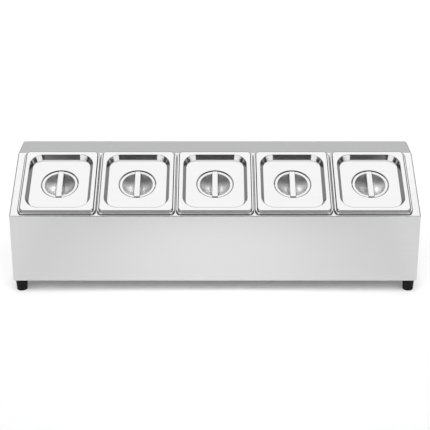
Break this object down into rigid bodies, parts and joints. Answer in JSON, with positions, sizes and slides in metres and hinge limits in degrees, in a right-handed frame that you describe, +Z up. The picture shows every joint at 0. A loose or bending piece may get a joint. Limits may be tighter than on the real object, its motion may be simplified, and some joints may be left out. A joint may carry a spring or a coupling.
{
  "type": "ingredient container",
  "caption": "Stainless countertop station with a sloping row of lift-out ingredient pans, each under a lift-off lid with a recessed strap handle, on rubber feet.",
  "frame": {"origin": "on the counter, below the middle of the body", "axes": "+X along the row of pans to the right, +Y from the front panel to the back, +Z up"},
  "size_m": [0.846, 0.2406, 0.2579],
  "materials": {
    "brushed_steel": "stainless sheet brushed along the row",
    "polished_steel": "pressed stainless, bright polished",
    "fastener_steel": "plain stainless fasteners",
    "rubber": "matt black moulded rubber"
  },
  "bodies": {
    "housing": {"body_shell": "brushed_steel", "left_end_panel": "brushed_steel", "right_end_panel": "brushed_steel", "base_panel": "brushed_steel", "front_left_foot": "rubber", "front_right_foot": "rubber", "rear_left_foot": "rubber", "rear_right_foot": "rubber", "foot_screws": "fastener_steel", "foot_washers": "fastener_steel", "foot_nuts": "fastener_steel"},
    "pan_1": {"pan_1": "polished_steel"},
    "lid_1": {"lid_1": "polished_steel", "lid_handle_1": "polished_steel"},
    "pan_2": {"pan_2": "polished_steel"},
    "lid_2": {"lid_2": "polished_steel", "lid_handle_2": "polished_steel"},
    "pan_3": {"pan_3": "polished_steel"},
    "lid_3": {"lid_3": "polished_steel", "lid_handle_3": "polished_steel"},
    "pan_4": {"pan_4": "polished_steel"},
    "lid_4": {"lid_4": "polished_steel", "lid_handle_4": "polished_steel"},
    "pan_5": {"pan_5": "polished_steel"},
    "lid_5": {"lid_5": "polished_steel", "lid_handle_5": "polished_steel"}
  },
  "joints": [
    {"name": "pan_1_lift", "type": "slide", "parent": "housing", "child": "pan_1", "axis": [0, -0.4384, 0.8988], "range_m": [0, 0.17]},
    {"name": "lid_1_lift", "type": "slide", "parent": "pan_1", "child": "lid_1", "axis": [0, -0.4384, 0.8988], "range_m": [0, 0.16]},
    {"name": "pan_2_lift", "type": "slide", "parent": "housing", "child": "pan_2", "axis": [0, -0.4384, 0.8988], "range_m": [0, 0.17]},
    {"name": "lid_2_lift", "type": "slide", "parent": "pan_2", "child": "lid_2", "axis": [0, -0.4384, 0.8988], "range_m": [0, 0.16]},
    {"name": "pan_3_lift", "type": "slide", "parent": "housing", "child": "pan_3", "axis": [0, -0.4384, 0.8988], "range_m": [0, 0.17]},
    {"name": "lid_3_lift", "type": "slide", "parent": "pan_3", "child": "lid_3", "axis": [0, -0.4384, 0.8988], "range_m": [0, 0.16]},
    {"name": "pan_4_lift", "type": "slide", "parent": "housing", "child": "pan_4", "axis": [0, -0.4384, 0.8988], "range_m": [0, 0.17]},
    {"name": "lid_4_lift", "type": "slide", "parent": "pan_4", "child": "lid_4", "axis": [0, -0.4384, 0.8988], "range_m": [0, 0.16]},
    {"name": "pan_5_lift", "type": "slide", "parent": "housing", "child": "pan_5", "axis": [0, -0.4384, 0.8988], "range_m": [0, 0.17]},
    {"name": "lid_5_lift", "type": "slide", "parent": "pan_5", "child": "lid_5", "axis": [0, -0.4384, 0.8988], "range_m": [0, 0.16]}
  ]
}
